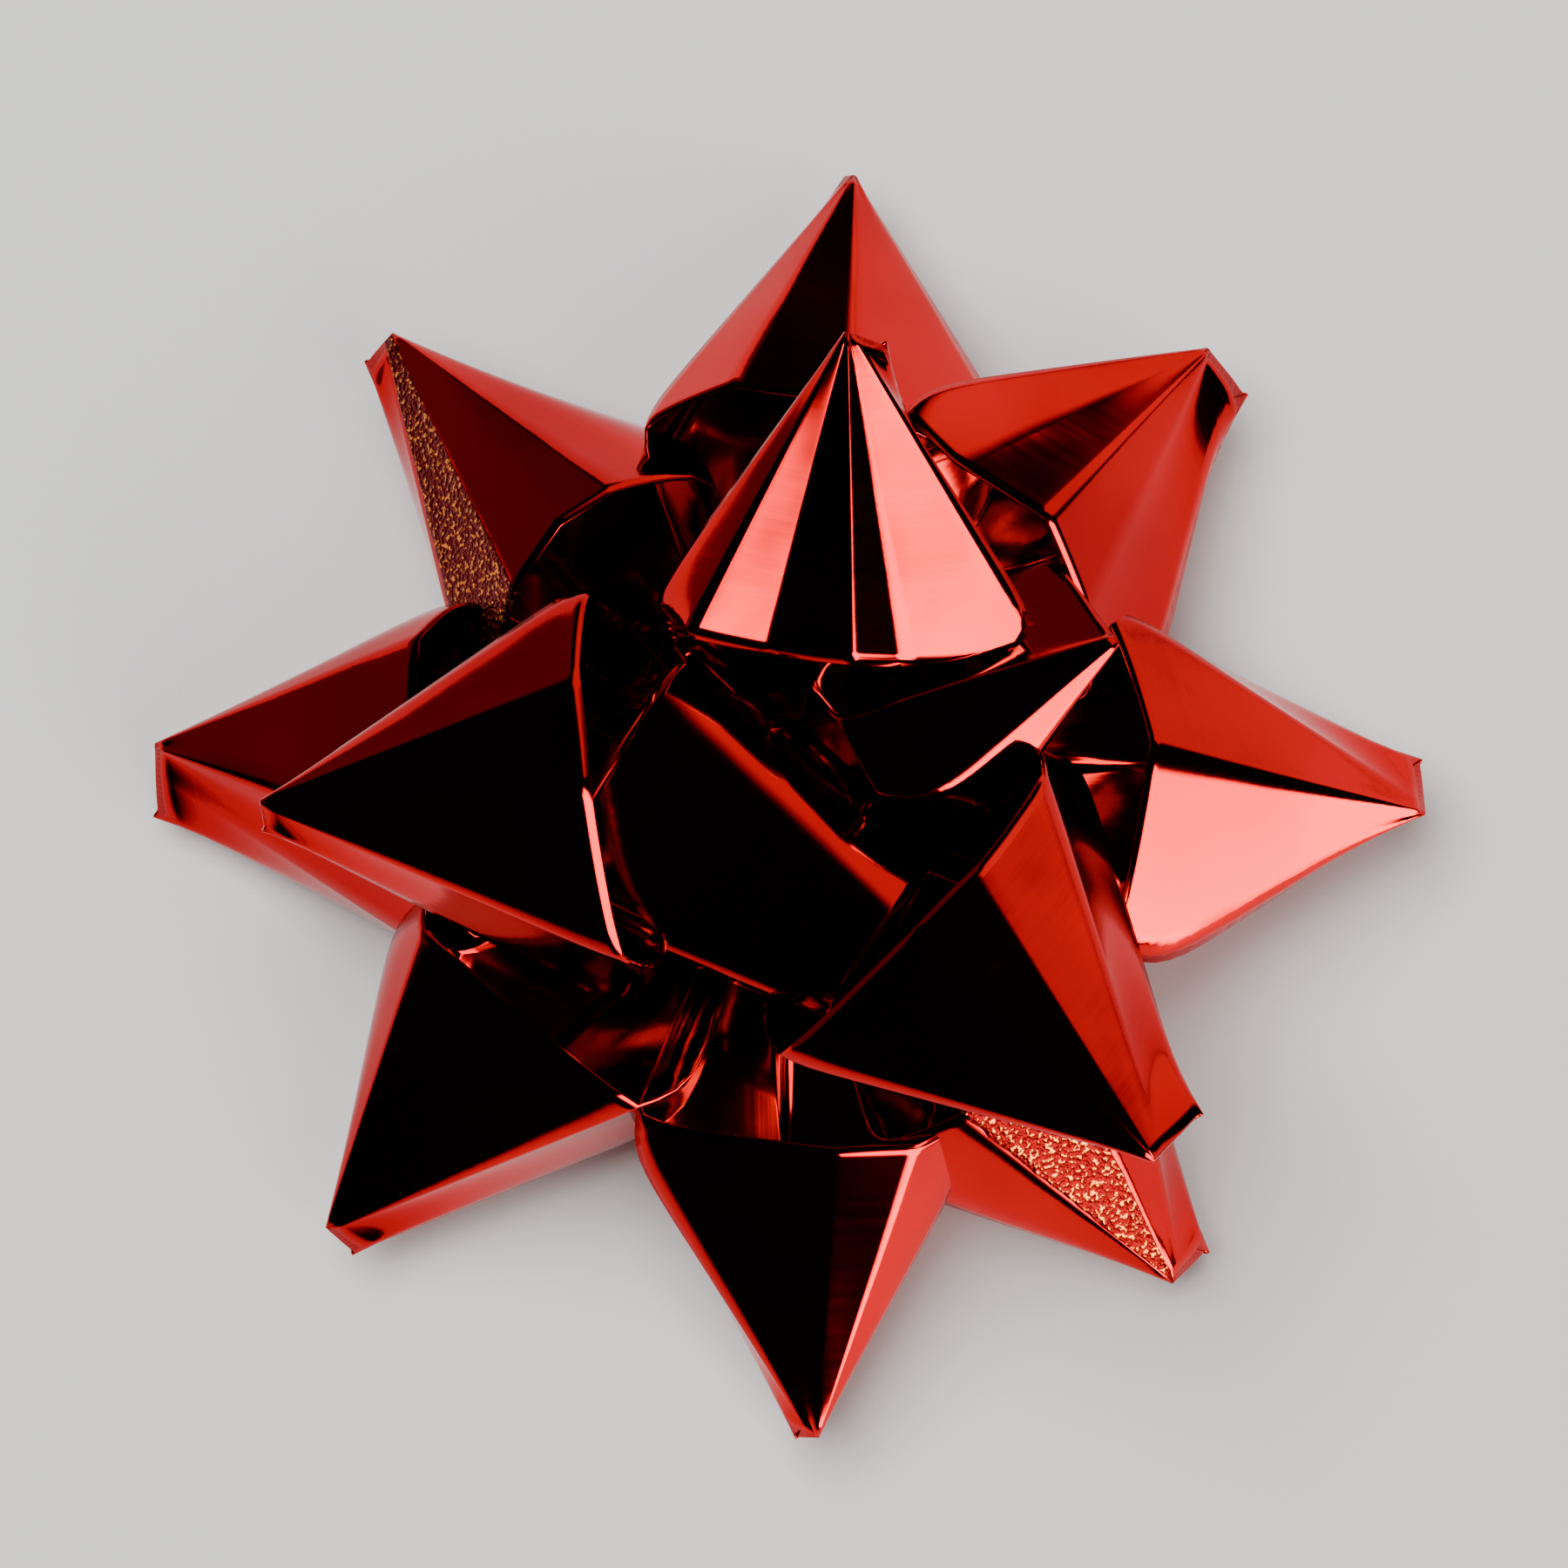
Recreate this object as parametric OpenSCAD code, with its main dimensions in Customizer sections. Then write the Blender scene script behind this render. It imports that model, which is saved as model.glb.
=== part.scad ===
// Star-shaped gift bow: pointed ribbon loops in two tiers and a round centre loop, all threaded on one
// pin over a card disc, with a foam adhesive pad and its release liner underneath.
// The origin is the middle of the resting face, under the liner. +Z points out of the bow's face.

/* [Ribbon] */
// Width of the ribbon, which is also the length of a loop's ridge
ribbon_w = 12.7; // [12:0.1:13]
// Thickness of the ribbon, thicker than the real film so that it stays a sound solid
film_t = 0.2; // [0.16:0.01:0.22]
// Half angle of a loop's cone, seen from above
loop_side = 30; // [27:1:32]
// Half angle of a bottom loop's cone, seen from the side
bottom_rise = 18; // [17:0.5:19]
// Half angle of a top loop's cone, seen from the side
top_rise = 24; // [22:1:26]

/* [Tiers] */
// Distance across the points of the bottom tier
bow_d = 50; // [48:1:54]
// Height of the bottom tier's points
bottom_tip_z = 2.2; // [1.8:0.1:2.8]
// Height of the top tier's points
top_tip_z = 15; // [14.8:0.1:16]
// Height of the round centre loop
centre_h = 7.4; // [7:0.1:8]
// Distance across the round centre loop, square to the ribbon's width
centre_l = 11.6; // [10.5:0.1:12]
// How far the centre loop leans off the pin at its top
centre_lean = 4; // [3:0.1:4.4]
// Direction in which the centre loop's ribbon runs through it
centre_turn = 57; // [54:1:60]

/* [Base] */
// Diameter of the card disc
card_d = 22; // [20:1:24]
// Thickness of the card disc
card_t = 0.5; // [0.4:0.05:0.8]
// Side of the square adhesive pad
pad_w = 15; // [14:0.5:15]
// Thickness of the adhesive pad
pad_t = 1; // [0.8:0.1:1.5]
// Side of the square release liner
liner_w = 18; // [17:0.5:20]
// Thickness of the release liner
liner_t = 0.12; // [0.1:0.01:0.2]
// Length of the liner's finger tab
tab_l = 6; // [4:0.5:8]

/* [Pin] */
// Diameter of the pin's shaft
pin_d = 2.4; // [2.2:0.1:2.6]
// Diameter of the pin's head and of its push-on cap
pin_head_d = 6; // [5:0.5:6.5]
// Thickness of the pin's head
pin_head_t = 0.4; // [0.3:0.05:0.5]
// Thickness of the push-on cap
cap_t = 0.8; // [0.6:0.1:1]
// Radial clearance of the turning ribbons on the pin
pin_clear = 0.05; // [0.03:0.01:0.08]

/* [Hidden] */
$fn = 64;

// Each loop of the bottom tier: direction, reach as a share of the bow's radius, height of its point,
// lean to one side
bottom_loops = [
    [84, 1, bottom_tip_z + 0.2, 4],
    [132, 0.95, bottom_tip_z + 2.5, -5],
    [178, 0.99, bottom_tip_z, 6],
    [225, 0.98, bottom_tip_z + 0.5, -6],
    [272, 1, bottom_tip_z + 1, 4],
    [311, 0.97, bottom_tip_z, -4],
    [1, 1, bottom_tip_z + 1.5, 6],
    [44, 0.97, bottom_tip_z + 1.6, -5]
];
// Each loop of the top tier, in the same way
top_loops = [
    [79, 0.66, top_tip_z + 1.4, 7],
    [186, 0.8, top_tip_z, 0],
    [316, 0.83, top_tip_z + 0.7, 0],
    [30, 0.56, top_tip_z - 3, 0]
];

bow_r = bow_d / 2;
body_gap = 0.05;
tier_gap = 0.4;
hub_r = 4;
bore_r = pin_d / 2 + pin_clear;
loop_sides = 60;
bottom_start = 5.6;
top_start = 6.4;
widest_spread = 28;
strap_w = 3.2;
strap_lap = 0.5;
tail_l = 8.4;
tail_w = 5;
tail_turn = 138;
tail_steps = 12;
outline_steps = 48;
squareness = 0.72;
pinch_w = 7;

card_z = liner_t + pad_t;
bottom_z = card_z + card_t + body_gap;
top_z = bottom_z + len(bottom_loops) * film_t + tier_gap;
tail_z = top_z + len(top_loops) * film_t + 2 * body_gap;
centre_z = tail_z + film_t;
cap_z = centre_z + film_t + 3 * body_gap;

function unit(v) = v / norm(v);

// The vector v turned about the unit vector k
function turned(v, k, angle) =
    v * cos(angle) + cross(k, v) * sin(angle) + k * (k * v) * (1 - cos(angle));

// The smallest angle between two directions
function apart(a, b) = let (d = abs(a - b) % 360) min(d, 360 - d);

// How far to each side a loop may spread before it meets the nearest other loop of its tier
function spread(loops, i) =
    min(widest_spread, min([for (j = [0:len(loops) - 1]) if (j != i) apart(loops[i][0], loops[j][0])]) / 2 - 0.6);

// Points of one pointed loop that reaches out along +X. The ribbon is rolled into a cone round its
// point, so its edge lies at ribbon_w / sin(half the turn) along each straight line of the cone. The
// edge stops short at the start of the strap and where the next loop begins.
function loop_points(reach, tip_z, root_z, start_x, limit, lean, rise) =
    let (
        apex_shift = film_t / sin(rise),
        tip = [reach, 0, tip_z],
        leg = unit([start_x - reach, 0, root_z - tip_z]),
        tilt = rise - atan2(tip_z - root_z, reach - start_x),
        along = turned([-cos(tilt), 0, sin(tilt)], leg, lean),
        up = turned([sin(tilt), 0, cos(tilt)], leg, lean),
        side = turned([0, 1, 0], leg, lean),
        rays = [for (j = [0:loop_sides - 1]) let (a = 360 * j / loop_sides)
            unit(along + tan(loop_side) * sin(a) * side - tan(rise) * cos(a) * up)],
        edge = [for (j = [0:loop_sides - 1]) tip + rays[j] * min(
            ribbon_w / max(sin(180 * j / loop_sides), 0.01),
            (reach - start_x) / abs(rays[j].x),
            reach * tan(limit) / (abs(rays[j].y) + abs(rays[j].x) * tan(limit)))],
        inner = [for (j = [0:loop_sides - 1]) edge[j] + apex_shift * (along - (along * rays[j]) * rays[j])]
    ) concat([tip, tip + apex_shift * along], edge, inner);

// Faces of one pointed loop: the outside, the inside, and the ribbon's edge between them
function loop_faces() =
    [for (j = [0:loop_sides - 1]) let (
        a = 2 + j,
        b = 2 + (j + 1) % loop_sides,
        c = a + loop_sides,
        d = b + loop_sides
    ) each [[0, b, a], [1, c, d], [a, b, c], [b, d, c]]];

// The flat end of a ribbon length: an eyelet round the pin and a strap out to start_x
module strap(z, start_x) {
    translate([0, 0, z])
        difference() {
            union() {
                cylinder(r = hub_r, h = film_t);
                translate([0, -strap_w / 2, 0])
                    cube([start_x + strap_lap, strap_w, film_t]);
            }
            translate([0, 0, -1])
                cylinder(r = bore_r, h = film_t + 2);
        }
}

module pointed_loop(angle, reach, tip_z, root_z, start_x, limit, lean, rise) {
    rotate([0, 0, angle]) {
        strap(root_z, start_x);
        polyhedron(loop_points(reach, tip_z, root_z, start_x, limit, lean, rise), loop_faces(), convexity = 4);
    }
}

module bottom_loop(i) {
    loop = bottom_loops[i];
    color("crimson")
        pointed_loop(loop[0], bow_r * loop[1], loop[2], bottom_z + i * film_t, bottom_start,
            spread(bottom_loops, i), loop[3], bottom_rise);
}

module top_loop(i) {
    loop = top_loops[i];
    color("crimson")
        pointed_loop(loop[0], bow_r * loop[1], loop[2], top_z + i * film_t, top_start,
            spread(top_loops, i), loop[3], top_rise);
}

// Outline of the centre loop along the ribbon: a rounded box that leans over as it rises. It is drawn
// inset on all sides, for its inside.
function leaning_outline(inset) = [for (j = [0:outline_steps - 1]) let (
        a = 360 * j / outline_steps,
        z = centre_h / 2 + (centre_h / 2 - inset) * sign(sin(a)) * pow(abs(sin(a)), squareness),
        upright_x = (centre_l / 2 - inset) * sign(cos(a)) * pow(abs(cos(a)), squareness)
    ) [upright_x - centre_lean * pow(z / centre_h, 1.5), z]];

// Width of the centre loop against its height
module pinched_outline() {
    polygon([
        [-pinch_w / 2, 0],
        [pinch_w / 2, 0],
        [ribbon_w / 2, centre_h / 2],
        [ribbon_w / 2, centre_h],
        [-ribbon_w / 2, centre_h],
        [-ribbon_w / 2, centre_h / 2]
    ]);
}

// The centre loop is a leaning tube of ribbon, gathered in to pinch_w where the pin holds it
module centre_loop() {
    color("crimson")
        translate([0, 0, centre_z])
            rotate([90, 0, centre_turn])
                difference() {
                    intersection() {
                        translate([0, 0, -ribbon_w / 2])
                            linear_extrude(ribbon_w)
                                difference() {
                                    polygon(leaning_outline(0));
                                    polygon(leaning_outline(film_t));
                                }
                        rotate([0, -90, 0])
                            translate([0, 0, -centre_l])
                                linear_extrude(2 * centre_l)
                                    pinched_outline();
                    }
                    rotate([90, 0, 0])
                        cylinder(r = bore_r, h = 3, center = true);
                }
}

// Points of the free end: a strip that rises from the strap, twists a quarter turn and narrows to a point
function tail_points() = [for (i = [0:tail_steps]) let (
        t = i / tail_steps,
        x = top_start + (tail_l - top_start + bottom_start) * t * 0.35,
        half = tail_w / 2 * (1 - 0.8 * t),
        roll = 50 * t,
        across = [0, cos(roll), sin(roll)],
        face = [0, -sin(roll), cos(roll)],
        middle = [x, 0, tail_z + film_t / 2 + tail_l * t * t]
    ) each [
        middle - half * across - film_t / 2 * face,
        middle + half * across - film_t / 2 * face,
        middle + half * across + film_t / 2 * face,
        middle - half * across + film_t / 2 * face
    ]];

function tail_faces() = concat(
    [[0, 1, 2], [0, 2, 3]],
    [for (i = [0:tail_steps - 1], j = [0:3]) let (
        a = 4 * i + j,
        b = 4 * i + (j + 1) % 4
    ) each [[a, a + 4, b], [b, a + 4, b + 4]]],
    [[4 * tail_steps, 4 * tail_steps + 2, 4 * tail_steps + 1],
     [4 * tail_steps, 4 * tail_steps + 3, 4 * tail_steps + 2]]
);

module ribbon_tail() {
    color("crimson")
        rotate([0, 0, tail_turn]) {
            strap(tail_z, top_start);
            polyhedron(tail_points(), tail_faces(), convexity = 4);
        }
}

module centre_pin() {
    color("whitesmoke") {
        translate([0, 0, card_z - pin_head_t])
            cylinder(d = pin_head_d, h = pin_head_t);
        translate([0, 0, card_z - pin_head_t])
            cylinder(d = pin_d, h = cap_z + cap_t - card_z + pin_head_t);
    }
}

module pin_cap() {
    color("whitesmoke")
        translate([0, 0, cap_z])
            difference() {
                cylinder(d = pin_head_d - 2, h = cap_t);
                translate([0, 0, -1])
                    cylinder(d = pin_d, h = cap_t + 2);
            }
}

module card_disc() {
    color("crimson")
        translate([0, 0, card_z])
            difference() {
                cylinder(d = card_d, h = card_t);
                translate([0, 0, -1])
                    cylinder(d = pin_d, h = card_t + 2);
            }
}

module adhesive_pad() {
    color("white")
        translate([0, 0, liner_t])
            difference() {
                translate([-pad_w / 2, -pad_w / 2, 0])
                    cube([pad_w, pad_w, pad_t]);
                translate([0, 0, pad_t - pin_head_t])
                    cylinder(d = pin_head_d, h = pin_head_t + 1);
            }
}

module release_liner() {
    color("ivory") {
        translate([-liner_w / 2, -liner_w / 2, 0])
            cube([liner_w, liner_w, liner_t]);
        translate([0, -liner_w / 4, 0])
            cube([liner_w / 2 + tab_l - liner_w / 4, liner_w / 2, liner_t]);
        translate([liner_w / 4 + tab_l, 0, 0])
            cylinder(d = liner_w / 2, h = liner_t);
    }
}

release_liner();
adhesive_pad();
card_disc();
centre_pin();
pin_cap();
bottom_loop(0);  // bottom_loop_1
bottom_loop(1);  // bottom_loop_2
bottom_loop(2);  // bottom_loop_3
bottom_loop(3);  // bottom_loop_4
bottom_loop(4);  // bottom_loop_5
bottom_loop(5);  // bottom_loop_6
bottom_loop(6);  // bottom_loop_7
bottom_loop(7);  // bottom_loop_8
top_loop(0);  // top_loop_1
top_loop(1);  // top_loop_2
top_loop(2);  // top_loop_3
top_loop(3);  // top_loop_4
ribbon_tail();
centre_loop();
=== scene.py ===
import math
import bmesh
import bpy
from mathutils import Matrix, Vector


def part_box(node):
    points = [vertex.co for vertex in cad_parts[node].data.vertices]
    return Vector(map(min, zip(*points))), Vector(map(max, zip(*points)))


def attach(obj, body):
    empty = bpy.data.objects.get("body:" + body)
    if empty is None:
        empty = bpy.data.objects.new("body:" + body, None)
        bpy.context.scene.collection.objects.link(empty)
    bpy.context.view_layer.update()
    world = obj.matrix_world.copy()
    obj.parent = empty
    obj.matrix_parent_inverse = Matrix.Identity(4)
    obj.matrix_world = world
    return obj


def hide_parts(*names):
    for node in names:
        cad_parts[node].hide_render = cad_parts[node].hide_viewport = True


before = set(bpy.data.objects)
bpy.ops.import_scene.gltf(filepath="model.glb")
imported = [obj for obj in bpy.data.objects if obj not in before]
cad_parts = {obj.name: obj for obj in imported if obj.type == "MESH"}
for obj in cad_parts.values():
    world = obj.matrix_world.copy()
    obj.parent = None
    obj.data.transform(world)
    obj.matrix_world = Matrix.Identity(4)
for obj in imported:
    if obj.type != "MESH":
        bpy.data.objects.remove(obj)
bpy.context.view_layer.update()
mm = 0.001
fullTurn = 2 * math.pi


class Wire:  # a socket that takes part in sums: each operator adds a Math node to its tree
    def __init__(self, graph, socket):
        self.graph = graph
        self.socket = socket

    def op(self, operation, *others):
        values = dict(enumerate((self,) + others))
        return self.graph.add("ShaderNodeMath", {"operation": operation}, values).out()

    def __add__(self, other):
        return self.op("ADD", other)

    def __sub__(self, other):
        return self.op("SUBTRACT", other)

    def __mul__(self, other):
        return self.op("MULTIPLY", other)

    def __truediv__(self, other):
        return self.op("DIVIDE", other)

    def __pow__(self, other):
        return self.op("POWER", other)

    def __radd__(self, other):
        return self + other

    def __rmul__(self, other):
        return self * other

    def __rsub__(self, other):
        return self * -1.0 + other

    def clamp(self, low=0.0, high=1.0):
        return self.op("MAXIMUM", low).op("MINIMUM", high)

    def smooth(self, low, high):  # 0 at low, 1 at high, eased between
        t = ((self - low) / (high - low)).clamp()
        return t * t * (3.0 - 2.0 * t)


class Added:  # a node just made, with its outputs as wires
    def __init__(self, graph, node):
        self.graph = graph
        self.node = node

    def out(self, key=0):
        return Wire(self.graph, self.node.outputs[key])


class Graph:
    def __init__(self, tree):
        self.tree = tree

    def add(self, kind, settings=None, values=None):
        node = self.tree.nodes.new(kind)
        for key, value in (settings or {}).items():
            setattr(node, key, value)
        for key, value in (values or {}).items():
            socket = node.inputs[key]
            if isinstance(value, Wire):
                self.tree.links.new(value.socket, socket)
            else:
                socket.default_value = value
        return Added(self, node)

    def mix(self, amount, a, b):  # numbers
        return a + (b - a) * amount

    def mixColour(self, amount, a, b):
        return self.add("ShaderNodeMix", {"data_type": "RGBA"}, {0: amount, 6: a, 7: b}).out(2)

    def noise(self, vector, scale, detail):
        values = {"Vector": vector, "Scale": scale, "Detail": detail}
        return self.add("ShaderNodeTexNoise", None, values).out()

    def bump(self, strength, distance, height):
        values = {"Strength": strength, "Distance": distance, "Height": height}
        return self.add("ShaderNodeBump", None, values).out()

    def vector(self, x, y, z):
        return self.add("ShaderNodeCombineXYZ", None, {0: x, 1: y, 2: z}).out()

    def vectorOp(self, operation, *values):
        inputs = dict(enumerate(values))
        return self.add("ShaderNodeVectorMath", {"operation": operation}, inputs).out()

    def scaled(self, vector, amount):
        return self.add("ShaderNodeVectorMath", {"operation": "SCALE"}, {0: vector, 3: amount}).out()

    def split(self, vector):
        parts = self.add("ShaderNodeSeparateXYZ", None, {0: vector})
        return parts.out(0), parts.out(1), parts.out(2)

    def turned(self, vector, axis, angle):
        values = {"Vector": vector, "Axis": axis, "Angle": angle}
        return self.add("ShaderNodeVectorRotate", {"rotation_type": "AXIS_ANGLE"}, values).out()


stage = {
    "lookAt": (0.0, 0.0, 8 * mm),
    "elevation": 83,  # degrees
    "azimuth": 0,
    "distance": 0.42,
    "lens": 250,
    "clipStart": 0.01,
}


def placeCamera():
    target = Vector(stage["lookAt"])
    up = math.radians(stage["elevation"])
    around = math.radians(stage["azimuth"])
    flat = math.cos(up)
    away = Vector((-math.sin(around) * flat, -math.cos(around) * flat, math.sin(up)))
    data = bpy.data.cameras.new("camera")
    data.lens = stage["lens"]
    data.clip_start = stage["clipStart"]
    camera = bpy.data.objects.new("camera", data)
    camera.location = target + away * stage["distance"]
    camera.rotation_euler = (-away).to_track_quat("-Z", "Y").to_euler()
    bpy.context.scene.collection.objects.link(camera)
    bpy.context.scene.camera = camera


placeCamera()
print("camera placed")


def newMaterial(name):
    material = bpy.data.materials.new(name)
    material.use_nodes = True
    material.node_tree.nodes.clear()
    return material, Graph(material.node_tree)


def finishMaterial(graph, values):
    shader = graph.add("ShaderNodeBsdfPrincipled", None, values).out()
    graph.add("ShaderNodeOutputMaterial", None, {"Surface": shader})


ribbonLook = {
    "red": (0.66, 0.001, 0.006, 1.0),
    "deepRed": (0.45, 0.0005, 0.004, 1.0),
    # painted shade: the dark red of a crushed facet
    "crazedPaintedShade": (0.14, 0.001, 0.002, 1.0),
    # painted glints: orange flecks of a warm light on a crushed facet
    "orangePaintedGlint": (1.0, 0.26, 0.03, 1.0),
    "roughness": 0.1,
    "waveScale": 160.0,  # long shallow waves of the film
    "linesAlong": 60.0,  # fine drawing lines that run along the ribbon
    "linesAcross": 2600.0,
    "raggedScale": 700.0,  # how ragged the rim of a crushed facet is
    "flakeScale": 5200.0,
    "toneScale": 70.0,
    "lineRoughness": 0.08,
    "crazedRoughness": 0.2,
    "waveHeight": 0.6,
    "lineHeight": 0.02,
    "flakeHeight": 1.1,
    "bumpStrength": 0.25,
    "bumpDistance": 0.6 * mm,
}


def ribbonMaterial():
    look = ribbonLook
    material, graph = newMaterial("metallisedRibbon")
    strip = graph.add("ShaderNodeUVMap", {"uv_map": "strip"}).out()
    place = graph.add("ShaderNodeTexCoord").out("Object")
    crushed = graph.add("ShaderNodeAttribute", {"attribute_name": "crushed"}).out("Fac")
    along, across, _ = graph.split(strip)
    waves = graph.noise(place, look["waveScale"], 2.0)
    lineSpace = graph.vector(along * look["linesAlong"], across * look["linesAcross"], 0.0)
    lines = graph.noise(lineSpace, 1.0, 3.0)
    # a crushed facet is crazed into tiny flakes; its colour is painted shade, a dark red, flecked with
    # painted glints of a warm orange light
    ragged = graph.noise(place, look["raggedScale"], 2.0)
    patch = (crushed + (ragged - 0.5) * 0.9).smooth(0.35, 0.6)
    flakes = graph.noise(place, look["flakeScale"], 1.0)
    paintedGlint = flakes.smooth(0.56, 0.66)
    tone = graph.noise(place, look["toneScale"], 2.0)
    colour = graph.mixColour(tone.smooth(0.35, 0.7), look["deepRed"], look["red"])
    # painted shade over the crushed facets, then orange painted glints on their flakes
    colour = graph.mixColour(patch, colour, look["crazedPaintedShade"])
    colour = graph.mixColour(patch * paintedGlint, colour, look["orangePaintedGlint"])
    # the lines' noise is a half on average, so half their roughness is taken off the base
    base = look["roughness"] - look["lineRoughness"] / 2
    rough = lines * look["lineRoughness"] + patch * look["crazedRoughness"] + base
    height = waves * look["waveHeight"] + lines * look["lineHeight"]
    height = height + patch * flakes * look["flakeHeight"]
    normal = graph.bump(look["bumpStrength"], look["bumpDistance"], height)
    values = {"Base Color": colour, "Metallic": 1.0, "Roughness": rough, "Normal": normal}
    finishMaterial(graph, values)
    return material


edgeLook = {
    "dark": (0.35, 0.015, 0.03, 1.0),
    # the light pink is partly the film's cut core and partly a painted edge highlight
    "light": (0.95, 0.12, 0.16, 1.0),
    "nickScale": 900.0,
    "roughness": 0.25,
    "metallic": 0.3,
}


def edgeMaterial():  # the film's cut edge, where its core shows; its lighter pink is also a painted highlight along the edge
    material, graph = newMaterial("ribbonEdgeWithPaintedHighlight")
    place = graph.add("ShaderNodeTexCoord").out("Object")
    nick = graph.noise(place, edgeLook["nickScale"], 2.0)
    finishMaterial(graph, {
        "Base Color": graph.mixColour(nick, edgeLook["dark"], edgeLook["light"]),
        "Roughness": nick * 0.2 + edgeLook["roughness"],
        "Metallic": edgeLook["metallic"],
    })
    return material


ribbonRed = ribbonMaterial()
ribbonEdgeWithPaintedHighlight = edgeMaterial()
print("ribbon materials ready")


def newTree(name, labels):
    tree = bpy.data.node_groups.new(name, "GeometryNodeTree")
    sockets = {}
    for label in labels:
        item = tree.interface.new_socket(label, in_out="INPUT", socket_type="NodeSocketFloat")
        sockets[label] = item.identifier
    tree.interface.new_socket("Geometry", in_out="OUTPUT", socket_type="NodeSocketGeometry")
    return tree, sockets


def dressRibbon(mesh):  # the film's faces first, its cut edge second
    mesh.materials.clear()
    mesh.materials.append(ribbonRed)
    mesh.materials.append(ribbonEdgeWithPaintedHighlight)


film = {"thickness": 0.14 * mm, "offset": 0.0, "material_offset_rim": 1}


def buildPiece(name, tree, sockets, values):
    mesh = bpy.data.meshes.new(name)
    maker = bpy.data.objects.new(name, mesh)
    bpy.context.scene.collection.objects.link(maker)
    nodes = maker.modifiers.new("shape", "NODES")
    nodes.node_group = tree
    for label, value in values.items():
        nodes[sockets[label]] = value
    dressRibbon(mesh)
    wall = maker.modifiers.new("film", "SOLIDIFY")
    for key, value in film.items():
        setattr(wall, key, value)
    scene = bpy.context.evaluated_depsgraph_get()
    shaped = maker.evaluated_get(scene)
    solid = bpy.data.meshes.new_from_object(shaped, preserve_all_data_layers=True, depsgraph=scene)
    maker.modifiers.clear()
    maker.data = solid
    bpy.data.meshes.remove(mesh)
    solid.name = name
    dressRibbon(solid)
    return maker


def finishTree(graph, mesh, place):
    moved = graph.add("GeometryNodeSetPosition", None, {"Geometry": mesh, "Position": place})
    values = {"Geometry": moved.out(), "Shade Smooth": True}
    smooth = graph.add("GeometryNodeSetShadeSmooth", None, values)
    real = graph.add("GeometryNodeRealizeInstances", None, {"Geometry": smooth.out()})
    values = {"Geometry": real.out(), "Material": ribbonRed}
    dressed = graph.add("GeometryNodeSetMaterial", None, values)
    graph.add("NodeGroupOutput", None, {0: dressed.out()})


def stored(graph, mesh, name, kind, domain, value):
    settings = {"data_type": kind, "domain": domain}
    values = {"Geometry": mesh, "Name": name, "Value": value}
    return graph.add("GeometryNodeStoreNamedAttribute", settings, values).out()


# A pointed loop is a ribbon rolled into a cone round its point. Its creases are counted from one end
# of the turn to the other, under the hood, over the ridge and back.
creaseCount = 6
columnsPerFacet = 9
rowsPerLoop = 26
loopInputs = [
    "direction", "reach", "tipHeight", "rootHeight", "start", "ribbonWidth", "sideAngle", "riseAngle",
    "lean", "blunt", "spread", "flatness", "crown", "gatherEnd", "ripple", "seed", "foot",
    "crushFrom", "crushTo",
]
for crease in range(1, creaseCount + 1):
    loopInputs.append("crease%dTurn" % crease)
    loopInputs.append("crease%dSwell" % crease)

cone = {
    "firstTurn": 0.003,  # where the two ends of the turn stop short of each other
    "lastTurn": 0.997,
    "underCrown": 1.2 * mm,  # how near the pin the ribbon comes under the hood
    "sideRoom": 0.35 * mm,
    "squeezePower": 9.0,  # how sharply a loop flattens against its neighbours
    "lapFrom": 1.5 * mm,
    "lapFull": 7.0 * mm,
    "lapSide": 0.45 * mm,
    "lapLift": 0.12 * mm,
    "narrowest": 0.004,  # keeps the edges' distances finite where the turn ends
    "leastBlunt": 0.6,  # the share of its bluntness that a point has everywhere
    "footLift": 0.45,
    "footDrop": 0.3,
    "pinFrom": 2.0 * mm,
    "pinHeight": 0.15,  # shares of a loop's height and width that are left at the pin
    "pinWidth": 0.55,
    "softAlong": 140.0,  # waves to a metre
    "softRound": 0.9,
    "seedStep": 3.7,
}


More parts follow.
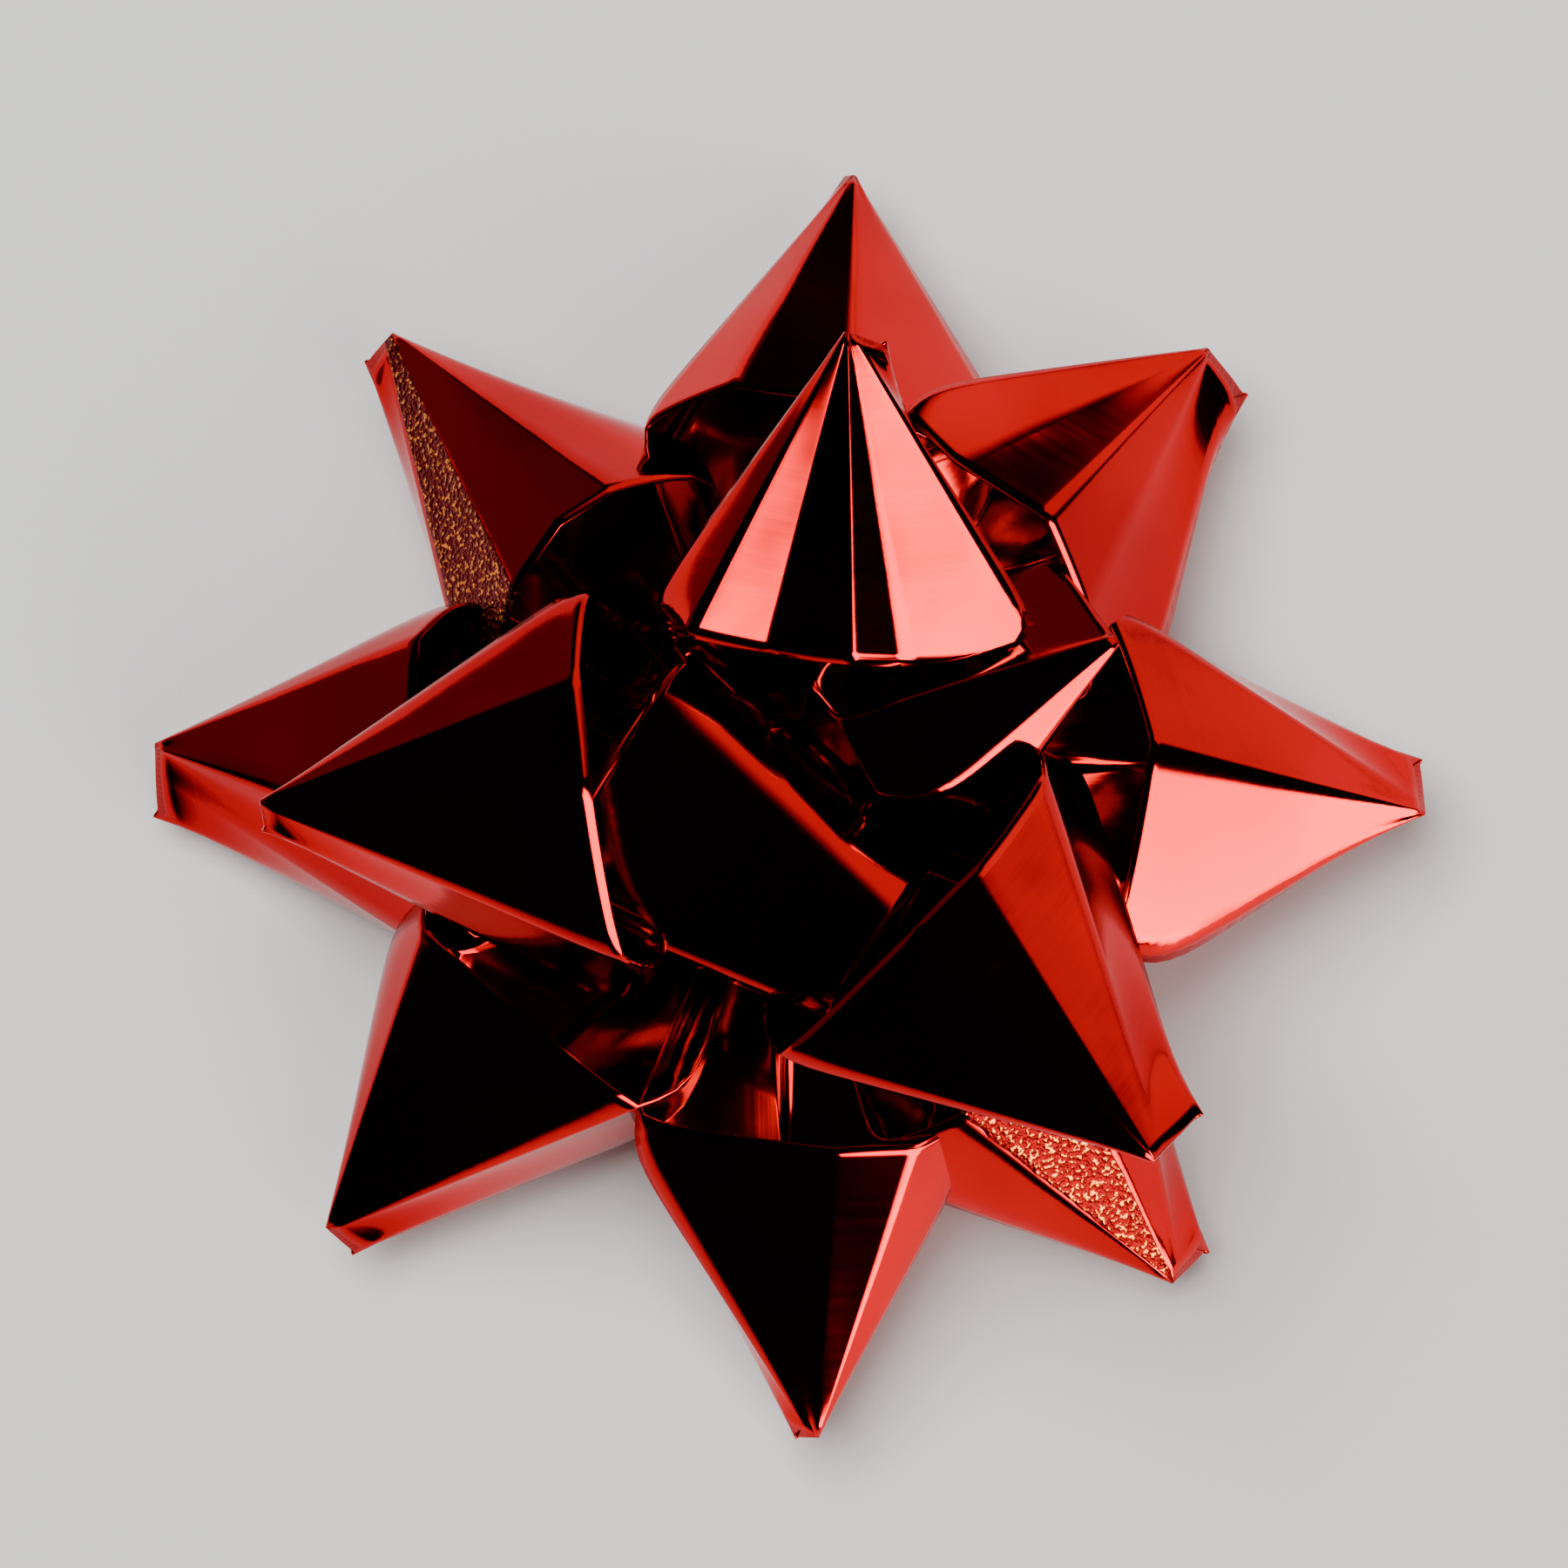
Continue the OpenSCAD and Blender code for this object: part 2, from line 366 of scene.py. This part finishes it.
def loopTree():
    tree, sockets = newTree("pointedLoop", loopInputs)
    graph = Graph(tree)
    given = graph.add("NodeGroupInput")
    get = {label: given.out(label) for label in loopInputs}
    facets = creaseCount + 1
    grid = graph.add("GeometryNodeMeshGrid", None, {
        "Size X": 1.0, "Size Y": 1.0,
        "Vertices X": facets * columnsPerFacet + 1, "Vertices Y": rowsPerLoop,
    })
    x, y, _ = graph.split(graph.add("GeometryNodeInputPosition").out())
    cell = (x + 0.5).clamp() * facets
    depth = (y + 0.5).clamp()
    number = cell.op("FLOOR").op("MINIMUM", facets - 1.0)
    part = cell - number

    def pick(label, first, last, index):  # the value of one crease, by its number
        node = tree.nodes.new("GeometryNodeIndexSwitch")
        node.data_type = "FLOAT"
        while len(node.index_switch_items) < facets + 1:
            node.index_switch_items.new()
        tree.links.new(index.socket, node.inputs[0])
        node.inputs[1].default_value = first
        node.inputs[facets + 1].default_value = last
        for crease in range(1, facets):
            wire = get["crease%d%s" % (crease, label)]
            tree.links.new(wire.socket, node.inputs[crease + 1])
        return Wire(graph, node.outputs[0])

    # the straight lines of the cone, with flat facets between its creases
    tip = graph.vector(get["reach"], 0.0, get["tipHeight"])
    run = get["reach"] - get["start"]
    drop = get["tipHeight"] - get["rootHeight"]
    leg = graph.vectorOp("NORMALIZE", graph.vector(run * -1.0, 0.0, drop * -1.0))
    tilt = get["riseAngle"] - drop.op("ARCTAN2", run)
    cosTilt = tilt.op("COSINE")
    sinTilt = tilt.op("SINE")
    axis = graph.turned(graph.vector(cosTilt * -1.0, 0.0, sinTilt), leg, get["lean"])
    up = graph.turned(graph.vector(sinTilt, 0.0, cosTilt), leg, get["lean"])
    side = graph.turned((0.0, 1.0, 0.0), leg, get["lean"])
    wide = get["sideAngle"].op("TANGENT")
    tall = get["riseAngle"].op("TANGENT")

    def ray(angle, swell):
        outward = graph.scaled(side, angle.op("SINE") * wide * swell)
        upward = graph.scaled(up, angle.op("COSINE") * tall * swell * -1.0)
        return graph.vectorOp("ADD", axis, graph.vectorOp("ADD", outward, upward))

    angleA = pick("Turn", cone["firstTurn"], cone["lastTurn"], number) * fullTurn
    angleB = pick("Turn", cone["firstTurn"], cone["lastTurn"], number + 1.0) * fullTurn
    rayA = ray(angleA, pick("Swell", 1.0, 1.0, number))
    rayB = ray(angleB, pick("Swell", 1.0, 1.0, number + 1.0))
    flatRay = graph.vectorOp("ADD", graph.scaled(rayA, 1.0 - part), graph.scaled(rayB, part))
    angle = graph.mix(part, angleA, angleB)
    roundRay = ray(angle, angle * 0.0 + 1.0)
    flat = get["flatness"]
    rays = graph.vectorOp("ADD", graph.scaled(flatRay, flat), graph.scaled(roundRay, 1.0 - flat))
    rays = graph.vectorOp("NORMALIZE", rays)

    # the ribbon's two edges, as distances from the cone's point
    half = angle * 0.5
    across = half.op("SINE").op("MAXIMUM", cone["narrowest"])
    upness = 0.5 - angle.op("COSINE") * 0.5  # 0 under the hood, 1 on its ridge
    rayX, _, _ = graph.split(rays)
    inmost = graph.mix(upness.smooth(0.45, 0.75), cone["underCrown"], get["crown"])
    limit = (get["reach"] - inmost) / (rayX * -1.0).op("MAXIMUM", 0.25)
    bluntHere = get["blunt"] * upness.smooth(0.02, 0.25)
    least = get["blunt"] * cone["leastBlunt"]
    outerEdge = (bluntHere / across).op("MAXIMUM", least).op("MINIMUM", limit)
    innerEdge = (get["ribbonWidth"] / across).op("MINIMUM", limit)
    distance = graph.mix(depth, outerEdge, innerEdge)
    # the lower corner of the blunt point stands off the ridge
    overFoot = upness.smooth(0.05, 0.8)
    lift = get["foot"].op("ABSOLUTE") * (overFoot * cone["footLift"] - cone["footDrop"])
    corner = graph.vector(0.0, get["foot"] * (0.5 - overFoot), lift)
    start = graph.vectorOp("ADD", tip, corner)
    px, py, pz = graph.split(graph.vectorOp("ADD", start, graph.scaled(rays, distance)))

    # gathered at the pin, and pressed by the loops on both sides
    gather = px.smooth(cone["pinFrom"], get["gatherEnd"])
    gather = gather.op("MAXIMUM", upness.smooth(0.45, 0.7))
    below = get["rootHeight"] + (px - get["start"]).op("MAXIMUM", 0.0) * drop / run
    rise = (pz - below) * graph.mix(gather, cone["pinHeight"], 1.0)
    room = px.op("MAXIMUM", 0.0) * get["spread"].op("TANGENT") + cone["sideRoom"]
    squeezed = py * graph.mix(gather, cone["pinWidth"], 1.0)
    power = cone["squeezePower"]
    squeezed = squeezed / ((squeezed.op("ABSOLUTE") / room) ** power + 1.0) ** (1.0 / power)
    # under the hood one end of the ribbon laps over the other
    lap = (1.0 - upness.smooth(0.0, 0.12)) * distance.smooth(cone["lapFrom"], cone["lapFull"])
    firstHalf = angle.op("LESS_THAN", math.pi)
    squeezed = squeezed - lap * (firstHalf * 2.0 - 1.0) * cone["lapSide"]
    rise = rise + lap * firstHalf * cone["lapLift"]
    # a little softness along the strip
    alongWave = distance * cone["softAlong"]
    wave = graph.vector(alongWave, angle * cone["softRound"], get["seed"] * cone["seedStep"])
    rise = rise + (graph.noise(wave, 1.0, 0.0) - 0.5) * get["ripple"]
    place = graph.vector(px, squeezed, below + rise)
    place = graph.turned(place, (0.0, 0.0, 1.0), get["direction"])

    strip = graph.vector(distance * half.op("COSINE"), distance * half.op("SINE"), 0.0)
    mapped = stored(graph, grid.out("Mesh"), "strip", "FLOAT2", "CORNER", strip)
    turnHere = angle / fullTurn
    after = turnHere.op("GREATER_THAN", get["crushFrom"])
    inside = after * turnHere.op("LESS_THAN", get["crushTo"])
    finishTree(graph, stored(graph, mapped, "crushed", "FLOAT", "POINT", inside), place)
    return tree, sockets


pointedLoop, loopSockets = loopTree()

bottomLoop = {
    "ribbonWidth": 12.7 * mm, "start": 5.6 * mm, "flatness": 0.93, "crown": 9.0 * mm,
    "gatherEnd": 9.0 * mm, "ripple": 0.25 * mm,
}
topLoop = {
    "ribbonWidth": 12.7 * mm, "start": 6.4 * mm, "flatness": 0.93, "crown": 2.6 * mm,
    "gatherEnd": 6.5 * mm, "ripple": 0.2 * mm,
}
# Each loop's own shape. lean, rise, halfAngle and room, which is its space to each side, are in degrees.
# blunt is how far its point is cut back and foot how far its lower corner stands off the ridge, in mm.
# creases are pairs of a turn, where 0.5 is the ridge, and a swell. crushed is the part of the turn that
# is crazed, and painted dark with orange painted glints.
loopShapes = {
    "bottom_loop_1": {
        "lean": -7, "rise": 19, "room": 28, "halfAngle": 34, "blunt": 0.1, "foot": 0.3,
        "creases": [(0.15, 1), (0.31, 1), (0.41, 1.12), (0.5, 1.0), (0.74, 0.98), (0.86, 1)],
    },
    "bottom_loop_2": {
        "lean": -5, "rise": 19, "room": 28, "halfAngle": 30, "blunt": 0.1, "foot": 1.4,
        "creases": [(0.15, 1), (0.27, 1), (0.4, 0.97), (0.47, 1.08), (0.53, 0.9), (0.78, 1)],
        "crushed": (0.27, 0.4),
    },
    "bottom_loop_3": {
        "lean": 6, "rise": 18, "room": 28, "halfAngle": 30, "blunt": 0.15, "foot": 2.6,
        "creases": [(0.15, 1), (0.26, 1), (0.42, 1.04), (0.6, 1.05), (0.76, 1), (0.86, 1)],
    },
    "bottom_loop_4": {
        "lean": -6, "rise": 18, "room": 27, "halfAngle": 30, "blunt": 0.12, "foot": 1.3,
        "creases": [(0.15, 1), (0.34, 1), (0.6, 1.04), (0.7, 1.0), (0.78, 1), (0.86, 1)],
    },
    "bottom_loop_5": {
        "lean": 0, "rise": 17, "room": 25, "halfAngle": 31, "blunt": 0.08, "foot": -0.8,
        "creases": [(0.15, 1), (0.3, 1), (0.41, 1.1), (0.48, 1.05), (0.7, 1), (0.85, 1)],
    },
    "bottom_loop_6": {
        "lean": -4, "rise": 18, "room": 26, "halfAngle": 30, "blunt": 0.15, "foot": 1.8,
        "creases": [(0.15, 1), (0.3, 1), (0.43, 1.0), (0.55, 1.02), (0.7, 1), (0.85, 1)],
        "crushed": (0.43, 0.55),
    },
    "bottom_loop_7": {
        "lean": 2, "rise": 16, "room": 27, "halfAngle": 31, "blunt": 0.1, "foot": 2.2,
        "creases": [(0.16, 1), (0.3, 1.05), (0.38, 0.92), (0.46, 1.06), (0.74, 1.08), (0.87, 1)],
    },
    "bottom_loop_8": {
        "lean": 0, "rise": 18, "room": 27, "halfAngle": 31, "blunt": 0.12, "foot": -2.2,
        "creases": [(0.2, 1), (0.34, 1.15), (0.42, 0.84), (0.52, 1.15), (0.62, 0.84), (0.78, 1.05)],
    },
    "top_loop_1": {
        "lean": -6, "rise": 20, "room": 50, "halfAngle": 34, "blunt": 0.15, "foot": -1.5,
        "creases": [(0.33, 0.9), (0.41, 1.14), (0.47, 0.88), (0.53, 1.18), (0.58, 0.92), (0.68, 1.4)],
    },
    "top_loop_2": {
        "lean": 0, "rise": 22, "room": 50, "halfAngle": 31, "blunt": 0.1, "foot": 1.0,
        "creases": [(0.18, 1), (0.32, 1), (0.48, 1.06), (0.58, 1), (0.7, 1), (0.84, 1)],
    },
    "top_loop_3": {
        "lean": 0, "rise": 22, "room": 50, "halfAngle": 31, "blunt": 0.1, "foot": 2.6,
        "creases": [(0.18, 1), (0.3, 1), (0.42, 1.0), (0.5, 1.08), (0.68, 1), (0.84, 1)],
    },
    "top_loop_4": {
        "lean": 0, "rise": 24, "room": 40, "halfAngle": 28, "blunt": 0.5, "foot": 4.0,
        "creases": [(0.16, 1.0), (0.3, 1.0), (0.43, 1.03), (0.57, 1.0), (0.7, 1.0), (0.84, 1.0)],
    },
}
notCrushed = (2.0, 2.0)  # past the end of the turn
eyeletReach = 4 * mm
rootGap = 0.1 * mm


def tipOf(node):  # the outermost corner of a loop's solid, and the height of its eyelet
    corners = [v.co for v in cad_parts[node].data.vertices]
    tip = max(corners, key=lambda co: co.x ** 2 + co.y ** 2)
    root = min(co.z for co in corners if math.hypot(co.x, co.y) < eyeletReach)
    return tip, root


def makeLoop(node, seed):
    shape = loopShapes[node]
    crushFrom, crushTo = shape.get("crushed", notCrushed)
    tip, root = tipOf(node)
    isTop = node.startswith("top")
    values = dict(topLoop if isTop else bottomLoop)
    values.update({
        "direction": math.atan2(tip.y, tip.x),
        "reach": math.hypot(tip.x, tip.y),
        "tipHeight": tip.z,
        "rootHeight": root + rootGap,
        "lean": math.radians(shape["lean"]),
        "spread": math.radians(shape["room"]),
        "sideAngle": math.radians(shape["halfAngle"]),
        "riseAngle": math.radians(shape["rise"]),
        "blunt": shape["blunt"] * mm,
        "foot": shape["foot"] * mm,
        "crushFrom": crushFrom,
        "crushTo": crushTo,
        "seed": float(seed),
    })
    for crease, (turn, swell) in enumerate(shape["creases"], 1):
        values["crease%dTurn" % crease] = float(turn)
        values["crease%dSwell" % crease] = float(swell)
    piece = buildPiece("ribbon_" + node, pointedLoop, loopSockets, values)
    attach(piece, "top_tier" if isTop else "bottom_tier")
    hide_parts(node)


for count, node in enumerate(loopShapes):
    makeLoop(node, count)
print("pointed loops made")


# the round centre loop is a leaning band, wider at its near mouth than at its far one
centreInputs = [
    "turn", "baseHeight", "topHeight", "nearEnd", "farEnd", "nearHalf", "farHalf", "nearShift",
    "farShift", "cornerCut", "squareness", "tilt",
]
centreLook = {
    "turn": math.radians(-33), "nearEnd": -5.8 * mm, "farEnd": 6.6 * mm, "nearHalf": 5.9 * mm,
    "farHalf": 3.4 * mm, "nearShift": -4.9 * mm, "farShift": -4.8 * mm, "cornerCut": 4.2 * mm,
    "squareness": 0.7, "tilt": math.radians(7),
}
centreBand = {
    "columns": 145, "rows": 32,
    "joined": 0.996,  # the share of the full turn that the band covers
    "cutFrom": 3.35, "cutFull": 4.6,  # where its mouth is cut back, in radians
    "footWidth": 0.72,  # its width at the base beside its width at the top
    "ribbonLength": 28 * mm, "ribbonWidth": 12.7 * mm,
    "baseGap": 0.1 * mm, "topGap": 0.3 * mm,
}


def centreTree():
    band = centreBand
    tree, sockets = newTree("centreBand", centreInputs)
    graph = Graph(tree)
    given = graph.add("NodeGroupInput")
    get = {label: given.out(label) for label in centreInputs}
    grid = graph.add("GeometryNodeMeshGrid", None, {
        "Size X": 1.0, "Size Y": 1.0, "Vertices X": band["columns"], "Vertices Y": band["rows"],
    })
    x, y, _ = graph.split(graph.add("GeometryNodeInputPosition").out())
    around = (x + 0.5).clamp()
    along = (y + 0.5).clamp()
    angle = around * (fullTurn * band["joined"]) + fullTurn * (1 - band["joined"]) / 2
    sine = angle.op("SINE")  # starts under the middle and climbs on the lower-left side
    cosine = angle.op("COSINE")
    sideways = sine.op("SIGN") * sine.op("ABSOLUTE") ** get["squareness"]
    upright = cosine.op("SIGN") * cosine.op("ABSOLUTE") ** get["squareness"] * -1.0
    # the mouth is cut back where the ribbon turns down at its outer corner
    cutBack = angle.smooth(band["cutFrom"], band["cutFull"]) * get["cornerCut"]
    start = get["nearEnd"] + cutBack
    u = start + along * (get["farEnd"] - start)
    share = (u - get["nearEnd"]) / (get["farEnd"] - get["nearEnd"])
    halfWidth = graph.mix(share, get["nearHalf"], get["farHalf"])
    shift = graph.mix(share, get["nearShift"], get["farShift"])
    climb = upright * 0.5 + 0.5
    narrowing = graph.mix(climb.smooth(0.0, 0.9), band["footWidth"], 1.0)
    v = shift * climb + sideways * halfWidth * narrowing
    height = get["topHeight"] - get["baseHeight"]
    slope = (v - shift) * climb * get["tilt"].op("TANGENT")
    z = get["baseHeight"] + climb * height + slope
    place = graph.turned(graph.vector(u, v, z), (0.0, 0.0, 1.0), get["turn"])
    strip = graph.vector(around * band["ribbonLength"], along * band["ribbonWidth"], 0.0)
    mapped = stored(graph, grid.out("Mesh"), "strip", "FLOAT2", "CORNER", strip)
    finishTree(graph, mapped, place)
    return tree, sockets


def makeCentre():
    tree, sockets = centreTree()
    low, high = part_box("centre_loop")
    values = dict(centreLook)
    values["baseHeight"] = low[2] + centreBand["baseGap"]
    values["topHeight"] = high[2] - centreBand["topGap"]
    piece = buildPiece("ribbon_centre_loop", tree, sockets, values)
    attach(piece, "centre")
    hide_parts("centre_loop")


makeCentre()
print("centre loop made")


matt = {"cloudScale": 0.06, "grainRoughness": 0.2, "bumpStrength": 0.3, "bumpDistance": 0.1 * mm}


def plainMaterial(name, colour, rough, scale, contrast):  # grain and a soft cloud over one colour
    material, graph = newMaterial(name)
    place = graph.add("ShaderNodeTexCoord").out("Object")
    grain = graph.noise(place, scale, 5.0)
    cloud = graph.noise(place, scale * matt["cloudScale"], 2.0)
    darker = tuple(c * (1 - contrast) for c in colour[:3]) + (1.0,)
    finishMaterial(graph, {
        "Base Color": graph.mixColour((grain * 0.6 + cloud * 0.4).smooth(0.3, 0.7), darker, colour),
        "Roughness": grain * matt["grainRoughness"] + (rough - matt["grainRoughness"] / 2),
        "Normal": graph.bump(matt["bumpStrength"], matt["bumpDistance"], grain),
    })
    return material


# colour, roughness, scale of the grain, contrast
finishes = {
    "release_liner": plainMaterial("linerPaper", (0.88, 0.83, 0.71, 1), 0.42, 4200.0, 0.08),
    "card_disc": plainMaterial("card", (0.42, 0.012, 0.02, 1), 0.65, 2600.0, 0.2),
    "centre_pin": plainMaterial("pinPlastic", (0.8, 0.79, 0.76, 1), 0.4, 1500.0, 0.05),
    "pin_cap": plainMaterial("capPlastic", (0.8, 0.79, 0.76, 1), 0.4, 1500.0, 0.05),
    "ribbon_tail": ribbonRed,
}
for node, material in finishes.items():
    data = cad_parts[node].data
    data.materials.clear()
    data.materials.append(material)

pad = {"cornerRound": 0.45 * mm, "cornerSteps": 4, "bulge": 0.12 * mm, "cuts": 12, "fill": 0.9}


def makePad():  # die-cut foam: its sides swell a little between the card and the liner
    low, high = (Vector(corner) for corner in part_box("adhesive_pad"))
    middle = (low + high) / 2
    half = (high - low) / 2 - Vector((pad["bulge"], pad["bulge"], 0))
    shape = bmesh.new()
    bmesh.ops.create_cube(shape, size=2.0)
    for corner in shape.verts:
        corner.co = Vector(a * b for a, b in zip(corner.co, half))

    def uprights():
        return [e for e in shape.edges if abs(e.verts[0].co.z - e.verts[1].co.z) > half.z]

    bmesh.ops.bevel(
        shape, geom=uprights(), offset=pad["cornerRound"], segments=pad["cornerSteps"],
        affect="EDGES", profile=0.5,
    )
    bmesh.ops.subdivide_edges(shape, edges=uprights(), cuts=pad["cuts"])
    for corner in shape.verts:
        swell = pad["bulge"] * (1 - (corner.co.z / half.z) ** 2)
        outward = Vector((corner.co.x, corner.co.y, 0)).normalized()
        corner.co += outward * swell + middle
    bmesh.ops.recalc_face_normals(shape, faces=shape.faces)
    mesh = bpy.data.meshes.new("foam_pad")
    shape.to_mesh(mesh)
    shape.free()
    piece = bpy.data.objects.new("foam_pad", mesh)
    bpy.context.scene.collection.objects.link(piece)
    mesh.materials.append(plainMaterial("foamTape", (0.87, 0.86, 0.82, 1), 0.85, 3000.0, 0.12))
    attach(piece, "base")
    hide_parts("adhesive_pad")


makePad()
print("base finished")

floorLook = {"halfSize": 3.0, "colour": (0.8, 0.79, 0.78, 1), "roughness": 0.6}


def makeFloor():
    size = floorLook["halfSize"]
    mesh = bpy.data.meshes.new("floor")
    corners = [(-size, -size, 0), (size, -size, 0), (size, size, 0), (-size, size, 0)]
    mesh.from_pydata(corners, [], [(0, 1, 2, 3)])
    floor = bpy.data.objects.new("floor", mesh)
    bpy.context.scene.collection.objects.link(floor)
    material, graph = newMaterial("paleFloor")
    finishMaterial(graph, {"Base Color": floorLook["colour"], "Roughness": floorLook["roughness"]})
    mesh.materials.append(material)


overhead = {"place": (-0.25, 0.2, 0.8), "size": (0.7, 0.7), "power": 12}


def makeLight():  # lights the floor and the matt parts, and isn't mirrored in the ribbon
    data = bpy.data.lights.new("overheadSoft", "AREA")
    data.shape = "RECTANGLE"
    data.size, data.size_y = overhead["size"]
    data.energy = overhead["power"]
    light = bpy.data.objects.new("overheadSoft", data)
    light.location = overhead["place"]
    light.rotation_euler = (-Vector(overhead["place"])).to_track_quat("-Z", "Y").to_euler()
    light.visible_glossy = False
    bpy.context.scene.collection.objects.link(light)


# soft panels round the studio: azimuth, half width, lowest and highest elevation in degrees, then
# brightness
panels = [
    (50, 21, -4, 46, 1.3),
    (-38, 24, 8, 64, 11.0),
    (-46, 9, -8, 10, 11.0),
    (140, 45, -5, 30, 0.18),
    (-123, 32, -12, 6, 0.9),
]
studio = {
    "dark": 0.004,  # brightness between the panels
    "softEdge": 6,  # degrees
    "unmirrored": 0.25,  # the panels' share of light on matt surfaces
    "colour": (1.0, 0.95, 0.9, 1.0),
}


def makeWorld():
    world = bpy.data.worlds.new("studio")
    bpy.context.scene.world = world
    world.use_nodes = True
    world.node_tree.nodes.clear()
    graph = Graph(world.node_tree)
    x, y, z = graph.split(graph.add("ShaderNodeTexCoord").out("Generated"))
    azimuth = y.op("ARCTAN2", x)
    elevation = z.clamp(-1.0, 1.0).op("ARCSINE")
    total = x * 0.0 + studio["dark"]
    edge = math.radians(studio["softEdge"])
    for *degrees, brightness in panels:
        middle, halfWidth, low, high = (math.radians(value) for value in degrees)
        away = (azimuth - middle + 1.5 * fullTurn).op("FLOORED_MODULO", fullTurn) - math.pi
        inside = 1.0 - away.op("ABSOLUTE").smooth(halfWidth - edge, halfWidth + edge)
        over = elevation.smooth(low - edge, low + edge)
        under = 1.0 - elevation.smooth(high - edge, high + edge)
        total = total + inside * over * under * brightness
    mirrored = graph.add("ShaderNodeLightPath").out("Is Glossy Ray")
    strength = total * graph.mix(mirrored, studio["unmirrored"], 1.0)
    values = {"Color": studio["colour"], "Strength": strength}
    background = graph.add("ShaderNodeBackground", None, values)
    graph.add("ShaderNodeOutputWorld", None, {"Surface": background.out()})


makeFloor()
makeWorld()
makeLight()
print("stage and light ready")
